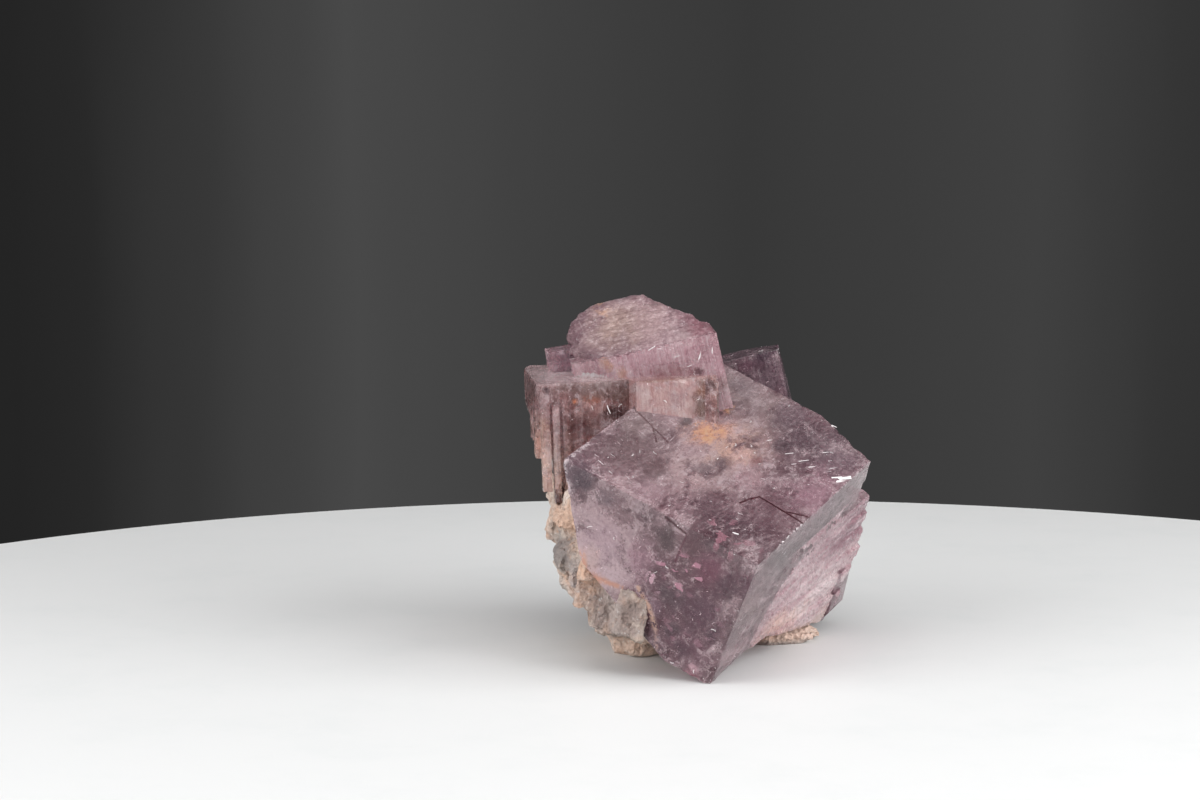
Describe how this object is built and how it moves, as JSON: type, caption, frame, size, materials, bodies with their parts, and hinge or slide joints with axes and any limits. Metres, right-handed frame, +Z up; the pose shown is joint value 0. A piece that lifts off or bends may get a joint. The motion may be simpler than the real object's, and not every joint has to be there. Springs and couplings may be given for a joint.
{
  "type": "fluorite cluster on matrix",
  "caption": "Cluster of straight-sided purple fluorite crystals grown together at angles on a pale rock matrix, standing on its matrix and the tip of its main crystal.",
  "frame": {"origin": "middle of the bounding box's base, on the ground that the specimen stands on", "axes": "+Z up, +Y away from the show side, +X to the show side's right"},
  "size_m": [0.0568, 0.0676, 0.0545],
  "materials": {
    "fluorite": "translucent purple mineral, flat lustrous faces with cloudy veils, cracks and growth ribs",
    "rock": null
  },
  "bodies": {
    "root": {"fluorite_crystals": "fluorite", "rock_matrix": "rock"}
  },
  "joints": []
}
